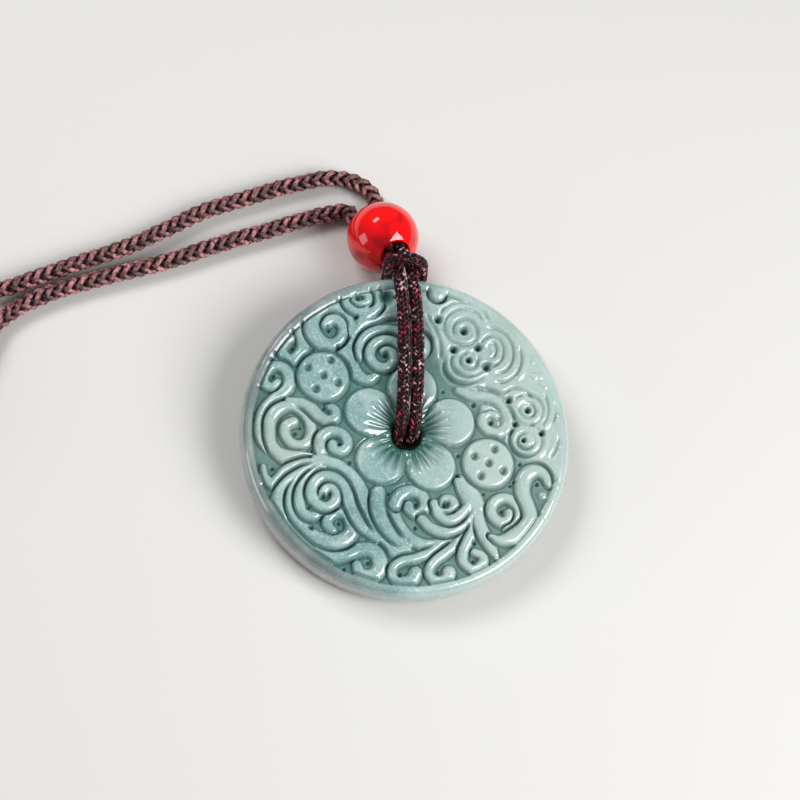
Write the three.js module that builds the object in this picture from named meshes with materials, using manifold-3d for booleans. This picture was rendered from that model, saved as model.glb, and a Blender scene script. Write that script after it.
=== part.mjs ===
// A jade peace-buckle pendant lying face up: a round carved jade disc with a centre hole, hung on a
// thin doubled cord that is looped through the hole and over the rim, a round red bead above it, and a
// braided neck cord that leaves the bead and ends in a tied coil. Millimetres, +Z up.
import * as THREE from 'three';
import { mergeVertices } from 'three/addons/utils/BufferGeometryUtils.js';
import Module from 'manifold-3d';

const wasm = await Module();
wasm.setup();

// Jade disc
const discDiameter = 35.5;
const discThickness = 4.2;
const edgeRounding = 1.3;
const rimWidth = 1.3;
const carvingDepth = 0.85;
const holeDiameter = 3.4;
const bowlDepth = 0.85;
const discSegments = 60;
const roundingSteps = 4;

// Carving on the front of the disc
const ribbonHeight = 0.78;
const flowerCentre = [0.15, 0.45];
const petalCount = 5;
const petalReach = 4.6;
const petalRadius = 2.75;
const petalTurn = 85;
const flowerHeart = 3.9;
const petalGroove = 0.22;
const podRadius = 2.85;
const podHeight = 0.82;
const dimpleRadius = 0.45;
const dimpleDepth = 0.35;

// Cords and bead
const loopCordDiameter = 1.4;
const strandSpacing = 1.5;
const clearance = 0.3;
const floorGap = 0.05;
const beadDiameter = 8;
const beadBore = 3.3;
const beadSegments = 20;
const beadSteps = 10;
const neckCordDiameter = 2.1;
const coilMeanDiameter = 22.5;
const coilLayers = 2;
const coilTurnsPerLayer = 4;
const coilSegments = 24;
const tieThickness = 0.45;
const tieWidth = 1.6;

const degree = Math.PI / 180;
const discRadius = discDiameter / 2;
const holeRadius = holeDiameter / 2;
const fieldRadius = discRadius - rimWidth;
const fieldLevel = discThickness - carvingDepth;
const strandRadius = loopCordDiameter / 2;
const beadRadius = beadDiameter / 2;
const neckRadius = neckCordDiameter / 2;

// The disc lies on its lower edge and on the two strands that cross its back, so it leans a little.
const strandDrop = loopCordDiameter + clearance;
const strandBearing = holeRadius + 0.9;
const lean = Math.asin(strandDrop / (discRadius - edgeRounding + strandBearing));
const discLift = (discRadius - edgeRounding) * Math.sin(lean) + edgeRounding * (1 - Math.cos(lean));

function solidOf(geometry) {
  const plain = geometry.clone();
  plain.deleteAttribute('normal');
  plain.deleteAttribute('uv');
  const merged = mergeVertices(plain, 1e-4);
  return new wasm.Manifold(new wasm.Mesh({
    numProp: 3,
    vertProperties: new Float32Array(merged.attributes.position.array),
    triVerts: new Uint32Array(merged.index.array),
  }));
}

function geometryOf(solid) {
  const mesh = solid.getMesh();
  const geometry = new THREE.BufferGeometry();
  geometry.setAttribute('position', new THREE.BufferAttribute(mesh.vertProperties, 3));
  geometry.setIndex(new THREE.BufferAttribute(mesh.triVerts, 1));
  const loose = geometry.toNonIndexed();
  loose.computeVertexNormals();
  return loose;
}

// A closed profile of [radius, height] points turned round the Z axis.
function turned(profile, segments) {
  const points = profile.map(([radius, height]) => new THREE.Vector2(radius, height));
  const geometry = new THREE.LatheGeometry([...points, points[0]], segments);
  return geometry.rotateX(Math.PI / 2);
}

function upright(points, base, height) {
  const outline = new THREE.Shape(points.map(([x, y]) => new THREE.Vector2(x, y)));
  const geometry = new THREE.ExtrudeGeometry(outline, { depth: height, bevelEnabled: false });
  return geometry.translate(0, 0, base);
}

function circlePoints(x, y, radius, count) {
  return Array.from({ length: count }, (_, i) => {
    const angle = (2 * Math.PI * i) / count;
    return [x + radius * Math.cos(angle), y + radius * Math.sin(angle)];
  });
}

function shared(values, share) {
  const place = share * (values.length - 1);
  const index = Math.min(Math.floor(place), values.length - 2);
  return values[index] + (values[index + 1] - values[index]) * (place - index);
}

// Ribbons of the carving, each a scroll wound round an eye, from its inner tip outwards, with an
// optional tail, or a stem through a few points. Angles in degrees, anticlockwise from +X.
const ribbons = [
  { path: [[-5.6, 6.4], [-6.5, 8.8], [-6.6, 10.0], [-6.0, 12.2]], widths: [0.5, 0.5, 0.45] },
  { path: [[-3.0, 5.9], [-4.9, 7.0], [-5.9, 9.6], [-5.0, 12.2], [-2.2, 13.5], [-0.5, 13.4]],
    widths: [0.55, 0.75, 0.7, 0.85] },
  { path: [[-5.0, 8.3], [-4.5, 10.5], [-2.2, 11.3], [-0.8, 11.0]], widths: [0.3, 0.5, 0.5] },
  { eye: [-2.5, 8.6], start: 100, sweep: -430, radii: [0.6, 1.1, 1.35, 1.55, 1.75, 2.0],
    widths: [0.4, 0.5, 0.4] },
  { eye: [-8.45, 11.45], start: 125, sweep: -480, radii: [0.7, 1.15, 1.45, 1.75, 2.3, 2.25],
    widths: [0.45, 0.6, 0.6, 0.5], tail: [[-6.5, 10.6]] },
  { path: [[-12.6, 10.0], [-13.5, 8.7], [-12.4, 7.65], [-11.25, 9.2], [-11.6, 11.2], [-10.2, 13.1]],
    widths: [0.4, 0.55, 0.45, 0.45] },
  { eye: [-14.25, 5.5], start: -95, sweep: -285, radii: [0.85, 1.0, 1.2, 1.65], widths: [0.45, 0.55],
    tail: [[-12.75, 4.1], [-14.8, 2.75], [-15.75, 0.1], [-14.9, -2.6]] },
  { eye: [-5.25, 14.7], start: -10, sweep: -400, radii: [0.65, 0.85, 1.1, 1.1, 1.6, 1.85],
    widths: [0.4, 0.45, 0.4] },
  { eye: [-11.95, -0.1], start: 75, sweep: 530, radii: [0.9, 1.05, 1.6, 1.6, 2.6, 2.7, 2.9],
    widths: [0.5, 0.6, 0.65, 0.7], tail: [[-11.2, -3.1], [-8.8, -3.8]] },
  { path: [[-8.35, 2.4], [-7.85, 1.25], [-9.6, 1.55], [-11.0, 2.7]], widths: [0.4, 0.5, 0.5] },
  { eye: [-7.3, -1.5], start: 190, sweep: 415, radii: [0.5, 0.85, 1.15, 1.25, 1.75, 2.0],
    widths: [0.45, 0.5, 0.45], tail: [[-7.9, -3.6]] },
  { path: [[-15.1, -4.5], [-14.3, -6.0], [-12.8, -4.7], [-10.6, -3.8], [-8.0, -4.15]],
    widths: [0.3, 0.55, 0.45] },
  { path: [[-8.8, -3.75], [-6.2, -4.5], [-5.0, -7.0], [-4.1, -10.0], [-1.7, -12.4], [2.2, -12.4]],
    widths: [0.5, 0.6, 0.75, 0.8, 0.5] },
  { path: [[-10.2, -4.6], [-12.7, -6.6], [-12.8, -9.4], [-10.7, -11.8], [-6.4, -13.1]],
    widths: [0.45, 0.65, 0.75, 0.7] },
  { path: [[-9.4, -8.95], [-10.9, -8.95], [-11.45, -6.8], [-10.0, -4.9]], widths: [0.35, 0.5, 0.4] },
  { eye: [-8.6, -7.0], start: 65, sweep: -425, radii: [0.65, 1.15, 1.2, 1.4, 1.9, 2.4],
    widths: [0.45, 0.55, 0.5], tail: [[-5.6, -8.4]] },
  { eye: [-7.3, -10.2], start: 225, sweep: -315, radii: [0.75, 1.2, 1.35, 1.45, 1.8],
    widths: [0.4, 0.6, 0.6], tail: [[-8.9, -11.95]] },
  { eye: [-4.1, -14.2], start: 165, sweep: 285, radii: [0.9, 1.1, 1.2, 1.45, 1.6],
    widths: [0.5, 0.6, 0.6], tail: [[-6.2, -13.2]] },
  { path: [[0.9, -15.0], [-0.4, -15.9], [-1.55, -14.7], [0.7, -13.55], [3.6, -12.4]],
    widths: [0.5, 0.4, 0.4] },
  { path: [[4.45, -14.6], [3.3, -15.6], [2.35, -14.6], [4.0, -13.0], [6.0, -11.1]],
    widths: [0.5, 0.4, 0.4] },
  { path: [[7.15, -12.6], [8.05, -13.4], [6.9, -14.4], [5.95, -13.2], [7.3, -9.6]],
    widths: [0.4, 0.42, 0.5] },
  { path: [[9.25, -12.8], [8.15, -10.3], [7.8, -8.8]], widths: [0.45, 0.5] },
  { path: [[6.3, -5.8], [7.2, -7.6], [6.2, -10.5], [3.2, -12.05], [0.2, -11.4], [-1.35, -9.0]],
    widths: [0.7, 0.75, 0.55, 0.55] },
  { path: [[-3.05, -6.75], [-2.8, -9.2], [-1.2, -11.5]], widths: [0.65, 0.5] },
  { eye: [0.65, -7.8], start: 190, sweep: 350, radii: [0.5, 1.0, 1.25, 1.45, 1.95],
    widths: [0.45, 0.55, 0.55] },
  { path: [[2.2, -9.7], [3.6, -10.7], [5.9, -9.95], [6.9, -8.6]], widths: [0.5, 0.45] },
  { eye: [4.1, -7.7], start: -45, sweep: 395, radii: [0.85, 1.1, 1.05, 1.1, 1.65, 2.5],
    widths: [0.4, 0.45, 0.4] },
  { eye: [10.1, -8.3], start: -5, sweep: -500, radii: [0.8, 1.2, 1.15, 1.5, 2.0, 2.5, 2.4],
    widths: [0.45, 0.5, 0.45] },
  { eye: [14.1, -4.95], start: -105, sweep: 290, radii: [1.0, 1.2, 1.35, 1.5], widths: [0.5, 0.5],
    tail: [[13.4, -8.3], [11.7, -10.9], [9.4, -11.4]] },
  { eye: [9.35, 1.75], start: 75, sweep: 410, radii: [0.75, 1.2, 1.15, 1.45, 2.15, 2.4],
    widths: [0.45, 0.5, 0.45], tail: [[6.9, 4.9]] },
  { eye: [13.1, 3.1], start: 150, sweep: -470, radii: [0.7, 0.95, 1.2, 1.45, 1.8, 2.1],
    widths: [0.4, 0.45, 0.35] },
  { eye: [12.8, -0.3], start: 90, sweep: 460, radii: [0.65, 0.9, 1.05, 1.2, 1.6, 2.0],
    widths: [0.4, 0.45, 0.35] },
  { path: [[15.7, 0.2], [14.7, -2.0], [12.6, -2.3]], widths: [0.4, 0.35] },
  { path: [[13.6, 8.4], [15.0, 5.0], [15.4, 2.0]], widths: [0.5, 0.4] },
  { path: [[2.0, 15.0], [3.2, 11.9], [3.8, 8.4], [5.5, 5.9], [8.6, 5.8], [11.6, 7.3]],
    widths: [0.7, 0.65, 0.55, 0.5] },
  { eye: [6.3, 11.75], start: 120, sweep: -440, radii: [0.8, 1.0, 1.4, 1.6, 1.95, 2.3],
    widths: [0.45, 0.5, 0.4] },
  { path: [[4.2, 13.9], [6.4, 14.9], [9.3, 12.9], [11.6, 10.6]], widths: [0.4, 0.5] },
  { eye: [6.65, 8.4], start: 60, sweep: 400, radii: [0.7, 0.95, 1.1, 1.3, 1.6], widths: [0.4, 0.45] },
  { eye: [9.5, 9.6], start: 250, sweep: 360, radii: [0.5, 0.9, 1.3, 1.6], widths: [0.5, 0.45] },
  { path: [[9.8, 11.7], [12.1, 9.6], [11.5, 7.0], [10.2, 6.4]], widths: [0.35, 0.45] },
];
const bosses = [[3.4, 15.2, 0.95], [1.0, 9.9, 1.6]];
const pods = [
  { centre: [-9.1, 5.9], dimples: [[-1.6, 0.85], [0.8, 1.85], [0.05, 0], [1.6, -0.7], [-0.75, -1.5]] },
  { centre: [8.7, -2.95], dimples: [[-1.5, 0.65], [0.7, 1.5], [0, 0], [1.6, -0.85], [-0.8, -1.5]] },
];

// Scroll sections stand about 40 degrees apart, and a stem has two between its points.
const scrollStep = 40;
const stemSteps = 2;
const sectionsPerBlock = 6;

function ribbonLine(ribbon) {
  let points = ribbon.path;
  let steps = stemSteps;
  if (ribbon.eye) {
    const count = Math.round(Math.abs(ribbon.sweep) / scrollStep);
    points = Array.from({ length: count + 1 }, (_, i) => {
      const angle = (ribbon.start + (ribbon.sweep * i) / count) * degree;
      const radius = shared(ribbon.radii, i / count);
      return [ribbon.eye[0] + radius * Math.cos(angle), ribbon.eye[1] + radius * Math.sin(angle)];
    });
    points = points.concat(ribbon.tail ?? []);
    steps = 1;
  }
  const curve = new THREE.CatmullRomCurve3(points.map(([x, y]) => new THREE.Vector3(x, y, 0)));
  const count = (points.length - 1) * steps;
  return Array.from({ length: count + 1 }, (_, i) => ({
    at: curve.getPoint(i / count),
    along: curve.getTangent(i / count),
    width: shared(ribbon.widths, i / count),
  }));
}

function ribbonSections(ribbon) {
  const line = ribbonLine(ribbon);
  const first = line[0];
  const last = line[line.length - 1];
  const nose = (end, sign) => ({
    at: end.at.clone().addScaledVector(end.along, sign * end.width * 0.8),
    along: end.along,
    width: end.width * 0.5,
  });
  return [nose(first, -1), ...line, nose(last, 1)];
}

// Four-sided sections joined along the ribbon.
function ribbonBlock(sections) {
  const foot = fieldLevel - 0.3;
  const top = fieldLevel + ribbonHeight;
  const vertices = [];
  for (const { at, along, width } of sections) {
    const side = new THREE.Vector3(-along.y, along.x, 0).normalize();
    const corners = [[-width, foot], [width, foot], [width, top], [-width, top]];
    for (const [offset, height] of corners) {
      vertices.push(at.x + side.x * offset, at.y + side.y * offset, height);
    }
  }
  const faces = [];
  const quad = (a, b, c, d) => faces.push(a, b, c, a, c, d);
  for (let i = 0; i < sections.length - 1; i += 1) {
    for (let j = 0; j < 4; j += 1) {
      const k = (j + 1) % 4;
      quad(4 * i + j, 4 * i + k, 4 * i + 4 + k, 4 * i + 4 + j);
    }
  }
  const end = 4 * (sections.length - 1);
  quad(3, 2, 1, 0);
  quad(end, end + 1, end + 2, end + 3);
  const geometry = new THREE.BufferGeometry();
  geometry.setAttribute('position', new THREE.BufferAttribute(new Float32Array(vertices), 3));
  geometry.setIndex(faces);
  return geometry;
}

function ribbonSolids(ribbon) {
  const sections = ribbonSections(ribbon);
  const solids = [];
  for (let i = 0; i < sections.length - 1; i += sectionsPerBlock) {
    solids.push(solidOf(ribbonBlock(sections.slice(i, i + sectionsPerBlock + 1))));
  }
  return solids;
}

// The five-petalled blossom is a shallow bowl round the hole, cut to the outline of its petals.
const bowlRadius = petalReach + petalRadius + 0.3;
const bowlRimLevel = discThickness - 0.15;
const bowlHoleLevel = discThickness - bowlDepth;

function bowlLevel(radius) {
  const share = Math.min(Math.max((radius - holeRadius) / (petalReach - holeRadius + 1), 0), 1);
  return bowlHoleLevel + (bowlRimLevel - bowlHoleLevel) * share;
}

function blossom() {
  const foot = fieldLevel - 0.3;
  const levels = [bowlRadius, petalReach + 1, holeRadius, holeRadius * 0.5];
  const profile = [[levels[3], foot], [bowlRadius, foot],
    ...levels.map((radius) => [radius, bowlLevel(radius)])];
  const bowl = solidOf(turned(profile, 36));
  let outline = solidOf(upright(circlePoints(...flowerCentre, flowerHeart, 20), foot, 3));
  for (let i = 0; i < petalCount; i += 1) {
    const angle = (petalTurn + (360 * i) / petalCount) * degree;
    const x = flowerCentre[0] + petalReach * Math.cos(angle);
    const y = flowerCentre[1] + petalReach * Math.sin(angle);
    outline = outline.add(solidOf(upright(circlePoints(x, y, petalRadius, 24), foot, 3)));
  }
  let petals = bowl.intersect(outline);
  for (let i = 0; i < petalCount; i += 1) {
    const angle = (petalTurn + (360 * (i + 0.5)) / petalCount) * degree;
    const inner = holeRadius + 0.5;
    const outer = flowerHeart + 0.6;
    const side = new THREE.Shape([
      new THREE.Vector2(inner, bowlLevel(inner) - 0.05),
      new THREE.Vector2(outer, bowlLevel(outer) - 0.35),
      new THREE.Vector2(outer, discThickness + 1),
      new THREE.Vector2(inner, discThickness + 1),
    ]);
    const groove = new THREE.ExtrudeGeometry(side, { depth: petalGroove, bevelEnabled: false });
    groove.translate(0, 0, -petalGroove / 2).rotateX(Math.PI / 2).rotateZ(angle);
    groove.translate(flowerCentre[0], flowerCentre[1], 0);
    petals = petals.subtract(solidOf(groove));
  }
  return petals;
}

function seedPod({ centre, dimples }) {
  const foot = fieldLevel - 0.3;
  const height = podHeight + 0.3;
  let pod = solidOf(upright(circlePoints(...centre, podRadius, 28), foot, height));
  for (const [x, y] of dimples) {
    const top = foot + height;
    const cone = turned([[0, top - dimpleDepth], [dimpleRadius, top], [dimpleRadius, top + 0.2],
      [0, top + 0.2]], 8);
    pod = pod.subtract(solidOf(cone.translate(centre[0] + x, centre[1] + y, 0)));
  }
  return pod;
}

function arc(x, y, radius, from, to, steps) {
  return Array.from({ length: steps + 1 }, (_, i) => {
    const angle = (from + ((to - from) * i) / steps) * degree;
    return [x + radius * Math.cos(angle), y + radius * Math.sin(angle)];
  });
}

function discBlank() {
  const flat = discRadius - edgeRounding;
  const profile = [
    [holeRadius, 0],
    ...arc(flat, edgeRounding, edgeRounding, -90, 0, roundingSteps),
    ...arc(flat, discThickness - edgeRounding, edgeRounding, 0, 90, roundingSteps),
    [fieldRadius, discThickness],
    [fieldRadius, fieldLevel],
    [bowlRadius - 1, fieldLevel],
    [holeRadius, bowlHoleLevel - 0.1],
  ];
  return solidOf(turned(profile, discSegments));
}

// Ribbons that reach the rim are cut off just inside it, so the rim stays a clean ring.
function carvedDisc() {
  const reach = fieldRadius + 0.05;
  let carving = solidOf(upright(circlePoints(...bosses[0].slice(0, 2), bosses[0][2], 16), fieldLevel - 0.3,
    ribbonHeight + 0.25));
  for (const [x, y, radius] of bosses.slice(1)) {
    carving = carving.add(solidOf(upright(circlePoints(x, y, radius, 18), fieldLevel - 0.3,
      ribbonHeight + 0.25)));
  }
  for (const ribbon of ribbons) {
    for (const solid of ribbonSolids(ribbon)) {
      carving = carving.add(solid);
    }
  }
  const top = 2 * discThickness;
  const field = solidOf(turned([[0, 0], [reach, 0], [reach, top], [0, top]], discSegments));
  const petals = blossom();
  const around = solidOf(turned([[0, 0], [holeRadius, 0], [holeRadius, 9], [0, 9]], 36));
  let disc = discBlank().add(carving.intersect(field));
  for (const pod of pods) {
    disc = disc.add(seedPod(pod));
  }
  return disc.add(petals).subtract(around);
}

// Places on the disc are given in its own frame: the hole at the origin, the back at z = 0.
const discFrame = new THREE.Matrix4().makeRotationX(lean).setPosition(0, 0, discLift);

function fromDisc(x, y, z) {
  return new THREE.Vector3(x, y, z).applyMatrix4(discFrame);
}

function cordTube(points, diameter, steps) {
  const radius = diameter / 2;
  const section = new THREE.Shape(circlePoints(0, 0, radius, 8).map(([x, y]) => new THREE.Vector2(x, y)));
  const route = new THREE.CatmullRomCurve3(points, false, 'centripetal');
  return new THREE.ExtrudeGeometry(section, { steps, extrudePath: route, bevelEnabled: false });
}

// The bead lies on the surface just past the top of the disc, its bore turned towards the knot.
const knotHeight = discThickness + clearance + strandRadius;
const knotRise = discRadius + clearance * 0.8 + strandRadius;
const beadSide = -2.25;
const beadAway = knotRise + strandRadius + clearance * 0.5 + beadRadius;
const beadCentre = new THREE.Vector3(beadSide, (beadAway - beadRadius * Math.sin(lean)) / Math.cos(lean)
  + discLift * Math.tan(lean), beadRadius);
const knotMouth = fromDisc(-0.2, knotRise, knotHeight - 0.9);
const boreDirection = knotMouth.clone().sub(beadCentre).normalize();
const acrossBore = new THREE.Vector3(-boreDirection.y, boreDirection.x, 0).normalize();

function onBore(along, across) {
  return beadCentre.clone().addScaledVector(boreDirection, along).addScaledVector(acrossBore, across);
}

function bead() {
  const bore = beadBore / 2;
  const mouth = Math.acos(bore / beadRadius) / degree;
  const profile = arc(0, 0, beadRadius, -mouth, mouth, beadSteps);
  const geometry = turned(profile, beadSegments);
  const axis = new THREE.Vector3(0, 0, 1);
  geometry.applyQuaternion(new THREE.Quaternion().setFromUnitVectors(axis, boreDirection));
  return geometry.translate(...beadCentre.toArray());
}

// Half of the loop: out of the bead, under the knot, down the front, through the hole, up the back.
const strandSide = strandSpacing / 2;
const frontLevel = discThickness + clearance + strandRadius;
const backLevel = -(clearance + strandRadius);

function loopHalf(sign) {
  const x = sign * strandSide;
  return [
    onBore(beadRadius * 0.62, x),
    onBore(beadRadius * 0.95, x),
    fromDisc(x - 0.2, knotRise - 0.35, frontLevel - 0.35),
    fromDisc(x, discRadius - 1.3, frontLevel + 0.1),
    fromDisc(x + 0.1, discRadius * 0.72, frontLevel),
    fromDisc(x + 0.2, discRadius * 0.44, frontLevel),
    fromDisc(x + 0.05, 3.0, frontLevel - 0.15),
    fromDisc(x, 1.25, frontLevel - 0.8),
    fromDisc(x, 0.3, discThickness - 1.0),
    fromDisc(x, 0.2, discThickness * 0.5),
    fromDisc(x, 0.1, 0.75),
    fromDisc(x, 0.7, backLevel + 0.35),
    fromDisc(x, 1.8, backLevel + 0.12),
    fromDisc(x, strandBearing + 1, backLevel),
    fromDisc(x, discRadius * 0.45, backLevel),
    fromDisc(x + sign * 0.1, discRadius * 0.75, backLevel),
    fromDisc(x + sign * 0.6, discRadius - 1.6, backLevel),
    fromDisc(x + sign * 1.05, discRadius, backLevel + 0.35),
    fromDisc(x + sign * 1.15, knotRise, discThickness * 0.3),
    fromDisc(x + sign * 1.1, knotRise + 0.05, discThickness * 0.85),
    fromDisc(x + sign * 0.75, knotRise - 0.25, discThickness + 1.5),
  ];
}

function loopCord() {
  const arch = fromDisc(0, knotRise - 0.6, frontLevel + loopCordDiameter + 0.35);
  const points = [...loopHalf(-1), arch, ...loopHalf(1).reverse()];
  return cordTube(points, loopCordDiameter, 66);
}

// Coil of the neck cord, wound in two layers beside the pendant. The pendant itself sets the lowest
// point, so the neck cord stays a hair above the surface.
const coilCentre = [-62, 5];
const coilMeanRadius = coilMeanDiameter / 2;
const coilHalfWidth = (coilTurnsPerLayer * neckCordDiameter) / 2;
const coilInner = coilMeanRadius - coilHalfWidth;
const coilOuter = coilMeanRadius + coilHalfWidth;
const coilHeight = coilLayers * neckCordDiameter;
const tieAngle = 200 * degree;

function coilRing() {
  const corner = neckRadius * 0.6;
  const ring = solidOf(turned([
    [coilInner, corner],
    [coilInner + corner, 0],
    [coilOuter - corner, 0],
    [coilOuter, corner],
    [coilOuter, coilHeight - corner],
    [coilOuter - corner, coilHeight],
    [coilInner + corner, coilHeight],
    [coilInner, coilHeight - corner],
  ], coilSegments));
  const notch = new THREE.BoxGeometry(2 * coilHalfWidth + 4, tieWidth + 2 * clearance,
    2 * (tieThickness + clearance));
  notch.translate(coilMeanRadius, 0, 0).rotateZ(tieAngle);
  return geometryOf(ring.subtract(solidOf(notch))).translate(...coilCentre, floorGap);
}

// A flat band round the coil's section, its lower side in the notch under the turns.
function coilTie() {
  const half = coilHalfWidth + clearance;
  const top = coilHeight + clearance;
  const frame = (grow) => [
    new THREE.Vector2(-half - grow, tieThickness - grow),
    new THREE.Vector2(half + grow, tieThickness - grow),
    new THREE.Vector2(half + grow, top + grow),
    new THREE.Vector2(-half - grow, top + grow),
  ];
  const band = new THREE.Shape(frame(tieThickness));
  band.holes.push(new THREE.Path(frame(0)));
  const geometry = new THREE.ExtrudeGeometry(band, { depth: tieWidth, bevelEnabled: false });
  geometry.translate(0, 0, -tieWidth / 2).rotateX(Math.PI / 2).translate(coilMeanRadius, 0, 0);
  return geometry.rotateZ(tieAngle).translate(...coilCentre, floorGap);
}

// Both ends of the neck cord leave the bead's upper mouth and lie on the surface, then run off to
// the coil. The upper run ends at the coil's lower layer, the lower run at its upper layer.
const restLevel = neckRadius + floorGap;
const mouthDistance = -(beadRadius + clearance);
const upperRun = [
  onBore(mouthDistance, neckRadius + clearance / 2),
  [-2.5, 29.1, 1.15], [-3.2, 30.6], [-5.0, 31.8], [-7.6, 32.1], [-12.1, 30.9], [-18.4, 28.4],
  [-22.0, 26.9], [-25.9, 24.5], [-30.4, 21.9], [-34.9, 19.9], [-39.3, 17.9], [-43.6, 16.0],
  [-46.6, 15.9], [-49.5, 16.4],
];
const lowerRun = [
  onBore(mouthDistance, -neckRadius - clearance / 2),
  [-5.9, 27.9, 1.15], [-7.6, 27.6], [-10.5, 26.7], [-15.2, 24.8], [-19.9, 23.0], [-25.7, 20.5],
  [-30.3, 18.9], [-34.8, 17.3], [-39.2, 15.4], [-43.2, 12.6, 1.15], [-45.4, 8.7, 1.9],
];

function onSurface(points) {
  return points.map((point) => (point.isVector3 ? point
    : new THREE.Vector3(point[0], point[1], point[2] ?? restLevel)));
}

const jade = new THREE.MeshStandardMaterial({ color: 0x9fc0b6, roughness: 0.18, metalness: 0 });
const agate = new THREE.MeshStandardMaterial({ color: 0xc4000c, roughness: 0.1, metalness: 0 });
const fineCord = new THREE.MeshStandardMaterial({ color: 0x2c0c14, roughness: 0.75, metalness: 0 });
const braidedCord = new THREE.MeshStandardMaterial({ color: 0x8a4a50, roughness: 0.8, metalness: 0 });
const thread = new THREE.MeshStandardMaterial({ color: 0x3a0f18, roughness: 0.8, metalness: 0 });

const object = new THREE.Group();

function addPiece(name, geometry, material, parent = object) {
  const mesh = new THREE.Mesh(geometry, material);
  mesh.name = name;
  parent.add(mesh);
  return mesh;
}

const discMesh = addPiece('jade_disc', geometryOf(carvedDisc()), jade);
discMesh.applyMatrix4(discFrame);
addPiece('red_bead', bead(), agate);
addPiece('loop_cord', loopCord(), fineCord);

// The middle of the pendant itself, without the neck cord, is the origin.
const box = new THREE.Box3().setFromObject(object, true);
object.position.set(-(box.min.x + box.max.x) / 2, -(box.min.y + box.max.y) / 2, -box.min.z);

addPiece('necklace_cord_upper', cordTube(onSurface(upperRun), neckCordDiameter, 26), braidedCord);
addPiece('necklace_cord_lower', cordTube(onSurface(lowerRun), neckCordDiameter, 24), braidedCord);
addPiece('necklace_coil', coilRing(), braidedCord);
addPiece('coil_tie', coilTie(), thread);

export default object;
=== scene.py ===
"""Looks of a carved jade peace buckle pendant: relief, bead, cords, materials, camera and light."""
import math

import bmesh
import bpy
import numpy as np
from mathutils import Matrix, Vector


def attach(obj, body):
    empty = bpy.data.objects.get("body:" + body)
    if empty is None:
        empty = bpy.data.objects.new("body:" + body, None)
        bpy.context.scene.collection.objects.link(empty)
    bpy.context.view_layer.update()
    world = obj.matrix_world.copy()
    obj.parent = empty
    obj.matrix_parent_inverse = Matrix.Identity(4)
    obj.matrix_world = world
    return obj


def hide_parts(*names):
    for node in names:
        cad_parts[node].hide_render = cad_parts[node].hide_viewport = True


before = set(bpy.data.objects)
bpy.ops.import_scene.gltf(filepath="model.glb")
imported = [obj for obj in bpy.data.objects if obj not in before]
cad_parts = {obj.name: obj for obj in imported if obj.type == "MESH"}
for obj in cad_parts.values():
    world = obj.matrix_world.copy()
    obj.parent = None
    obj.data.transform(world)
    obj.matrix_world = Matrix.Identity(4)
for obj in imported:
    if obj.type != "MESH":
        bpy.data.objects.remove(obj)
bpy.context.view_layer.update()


# Jade disc: one round of jade, carved in relief on its front with scrolls, a blossom round the hole, two
# seed pods, thin grooves, pearls and drilled pits, inside a smooth rim. Its edge is rounded, its back plain
# and polished. It leans, because two strands of the loop cord cross its back.
MM = 0.001
DISC_RADIUS = 35.5 / 2
DISC_THICKNESS = 4.2
EDGE_ROUNDING = 1.3
RIM_WIDTH = 1.3
CARVING_DEPTH = 0.85
HOLE_RADIUS = 3.4 / 2
LOOP_DIAMETER = 1.4
CLEARANCE = 0.3
FIELD_RADIUS = DISC_RADIUS - RIM_WIDTH
FIELD_LEVEL = DISC_THICKNESS - CARVING_DEPTH
STRAND_BEARING = HOLE_RADIUS + 0.9
LEAN = math.asin((LOOP_DIAMETER + CLEARANCE) / (DISC_RADIUS - EDGE_ROUNDING + STRAND_BEARING))
DISC_LIFT = (DISC_RADIUS - EDGE_ROUNDING) * math.sin(LEAN) + EDGE_ROUNDING * (1 - math.cos(LEAN))

# The CAD model is centred on its box, which moves the disc's hole away from the origin.
SHIFT = np.array([0.0, -4.734240, -0.005187])


def from_disc(x, y, z):
    """A point in the leaning disc's own frame (hole at the origin, back at z = 0), before the shift."""
    return np.array([x, y * math.cos(LEAN) - z * math.sin(LEAN),
                     y * math.sin(LEAN) + z * math.cos(LEAN) + DISC_LIFT])


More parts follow.
